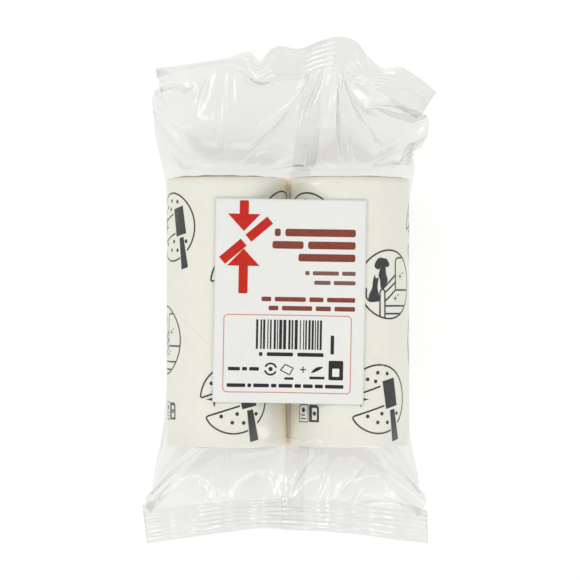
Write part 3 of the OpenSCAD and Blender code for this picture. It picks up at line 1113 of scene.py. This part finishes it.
def words(p, right, y, height_mm, widths, gap):
    """A line of plain bars that stands for a line of words, set to the right."""
    x = right
    for w in reversed(widths):
        p.box(x - w, y - height_mm / 2, x, y + height_mm / 2, height_mm * 0.28)
        x -= w + gap


def on_label(lift):
    """The rule that lays a print on the label."""
    return lambda a, b: label_point(a, b, lift)


def turned(x, y, angle, cx, cy):
    """A place turned by an angle and moved to (cx, cy)."""
    c, s = math.cos(angle), math.sin(angle)
    return cx + x * c - y * s, cy + x * s + y * c


red, brown, grey, pale, black = (Print(on_label(PRINT_ON_LABEL)) for _ in range(5))

# Two plain arrows that meet, and two slanted bars between them.
for tip_y, end_y, way in ((25.6, 37.0, 1), (19.2, 2.6, -1)):
    head_y = tip_y + way * 6.2
    red.fill([(-17.3, tip_y), (-17.3 + way * 6.0, tip_y + way * 6.4), (-17.3 - way * 6.0, tip_y + way * 6.4)])
    red.box(-19.0, min(head_y, end_y), -15.6, max(head_y, end_y), 0.6)
for x0, x1 in ((-11.8, -1.3), (0.9, 11.4)):
    bar = ((x0, -1.7), (x1, -1.7), (x1, 1.7), (x0, 1.7))
    red.fill([turned(x, y, math.radians(41), -16.3, 22.4) for x, y in bar])

# Bars for the lines of words.
for p, right, y, tall, widths, gap in (
    (brown, 24.0, 25.4, 2.8, [2.2, 26.0], 1.7),
    (brown, 24.0, 20.8, 2.8, [11.5, 17.5], 1.7),
    (brown, 24.0, 16.2, 2.8, [21.0], 1.7),
    (grey, 24.2, 10.5, 1.5, [1.6, 9.6, 5.0], 1.2),
    (grey, 24.2, 7.0, 1.5, [6.0, 8.0], 1.2),
    (brown, 24.2, 0.7, 1.7, [3.6, 11.5, 5.2, 10.4], 1.3),
    (brown, 24.2, -2.6, 1.7, [3.6, 11.2, 5.6, 7.6], 1.3),
):
    words(p, right, y, tall, widths, gap)

# The frame with round corners.
FRAME_X0, FRAME_X1, FRAME_Y0, FRAME_Y1, FRAME_R = -22.6, 21.4, -32.3, -6.7, 1.5
for y in (FRAME_Y0 - FRAME_R, FRAME_Y1 + FRAME_R):
    pale.line([(FRAME_X0, y), (FRAME_X1, y)], THIN_STROKE)
for x in (FRAME_X0 - FRAME_R, FRAME_X1 + FRAME_R):
    pale.line([(x, FRAME_Y0), (x, FRAME_Y1)], THIN_STROKE)
for cx, cy, start in (
    (FRAME_X0, FRAME_Y0, 180), (FRAME_X1, FRAME_Y0, 270), (FRAME_X1, FRAME_Y1, 0), (FRAME_X0, FRAME_Y1, 90),
):
    pale.arc(cx, cy, FRAME_R, start, start + 90, THIN_STROKE)

# A block of bars from a seeded rule, not a code, with the marks and bars round it.
bars = np.random.default_rng(31)
x = -12.2
while x < 12.2:
    w = float(bars.choice([0.4, 0.6, 0.8, 1.1]))
    black.box(x, -17.8, min(x + w, 12.7), -6.9)
    x += w + float(bars.choice([0.4, 0.55, 0.8]))
words(black, 12.9, -19.7, 1.4, [1.3, 9.7, 9.7], 1.6)
black.box(15.4, -19.4, 16.7, -12.4, 0.4)
words(black, -10.9, -25.2, 1.3, [4.4, 1.8, 3.6], 0.8)
black.arc(-6.6, -25.2, 2.1, 20, 150, 0.7)
black.arc(-6.6, -25.2, 2.1, 200, 330, 0.7)
black.disc(-6.6, -25.2, 0.8)
black.line([(-2.9, -25.5), (-1.2, -23.4), (1.8, -24.8), (0.4, -27.2), (-2.9, -25.5)], 0.4)
black.line([(4.4, -25.2), (6.4, -25.2)], 0.4)
black.line([(5.4, -24.2), (5.4, -26.2)], 0.4)
black.fill(smooth_shape([(8.4, -26.2), (10.2, -25.9), (12.8, -24.2), (10.4, -24.3)], 5))
words(black, 13.4, -28.2, 1.0, [5.6], 1.0)
words(black, 1.9, -28.6, 0.9, [3.4], 1.0)
black.box(14.8, -28.9, 20.2, -21.7, 0.5)
words(black, 20.4, -31.3, 1.35, [6.9, 1.4, 5.8, 2.0, 5.2, 2.4, 3.6, 3.0, 6.8], 0.75)
for p, name, look in (
    (red, "label_red_print", red_ink),
    (brown, "label_brown_print", brown_ink),
    (grey, "label_grey_print", grey_ink),
    (pale, "label_frame_print", pale_ink),
    (black, "label_black_print", print_ink),
):
    obj = p.build(name, look)
    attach(obj, "bag")
white = Print(on_label(PRINT_ON_LABEL + 0.02))
white.box(16.2, -27.6, 18.8, -24.6, 0.3)
tag = white.build("label_tag_window", label_look)
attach(tag, "bag")

# ======================================== stage and camera

floor_look, ft, fout = material("floor_white")
fb = node(ft, "ShaderNodeBsdfDiffuse")
glow = node(ft, "ShaderNodeEmission", Color=(1.0, 1.0, 0.995, 1), Strength=0.80)
both = ft.nodes.new("ShaderNodeAddShader")
ft.links.new(ramp(ft, noise(ft, 4.0), [(0.3, 0.19), (0.7, 0.21)]), fb.inputs[0])
ft.links.new(fb.outputs[0], both.inputs[0])
ft.links.new(glow.outputs[0], both.inputs[1])
ft.links.new(both.outputs[0], fout.inputs[0])
FLOOR_HALF, FLOOR_Z = 2500, -0.3
floor_corners = [(x * FLOOR_HALF, y * FLOOR_HALF, FLOOR_Z) for x, y in ((-1, -1), (1, -1), (1, 1), (-1, 1))]
floor = piece("floor", floor_corners, [(0, 1, 2, 3)], floor_look)

world = bpy.data.worlds.new("studio")
bpy.context.scene.world = world
world.use_nodes = True
wt = world.node_tree
wt.nodes.clear()
w_out = wt.nodes.new("ShaderNodeOutputWorld")
w_bg = wt.nodes.new("ShaderNodeBackground")
w_at = wt.nodes.new("ShaderNodeTexCoord")
w_part = wt.nodes.new("ShaderNodeSeparateXYZ")
wt.links.new(w_at.outputs["Generated"], w_part.inputs[0])
wt.links.new(ramp(wt, w_part.outputs[2], [(0.0, 1.0), (0.7, 0.98), (1.0, 0.82)]), w_bg.inputs[0])
wt.links.new(w_bg.outputs[0], w_out.inputs[0])


LIGHT_AIM = Vector((0, 0, 0.02))


def soft_light(name, place, w, h, energy):
    """A rectangular light that looks at the pack."""
    data = bpy.data.lights.new(name, "AREA")
    data.shape = "RECTANGLE"
    data.size, data.size_y, data.energy = w, h, energy
    obj = bpy.data.objects.new(name, data)
    obj.location = place
    obj.rotation_euler = (LIGHT_AIM - Vector(place)).to_track_quat("-Z", "Y").to_euler()
    bpy.context.scene.collection.objects.link(obj)


soft_light("key", (-0.75, 0.75, 0.95), 0.7, 0.5, 4.4)
soft_light("fill", (0.8, -0.65, 0.85), 0.5, 0.5, 3.0)
soft_light("foot", (-0.2, -1.0, 0.75), 0.8, 0.35, 2.4)

# The photo looks straight down from about a metre, where its frame is this wide.
CAMERA_HIGH, SEEN_W, SENSOR_W = 1.0, 0.219, 36
cam = bpy.data.cameras.new("camera")
camera = bpy.data.objects.new("camera", cam)
bpy.context.scene.collection.objects.link(camera)
bpy.context.scene.camera = camera
camera.location = (0.00075, -0.0002, CAMERA_HIGH + ROLL_Z * MM)
cam.sensor_width = SENSOR_W
cam.lens = SENSOR_W * CAMERA_HIGH / SEEN_W
bpy.context.scene.view_settings.view_transform = "Standard"
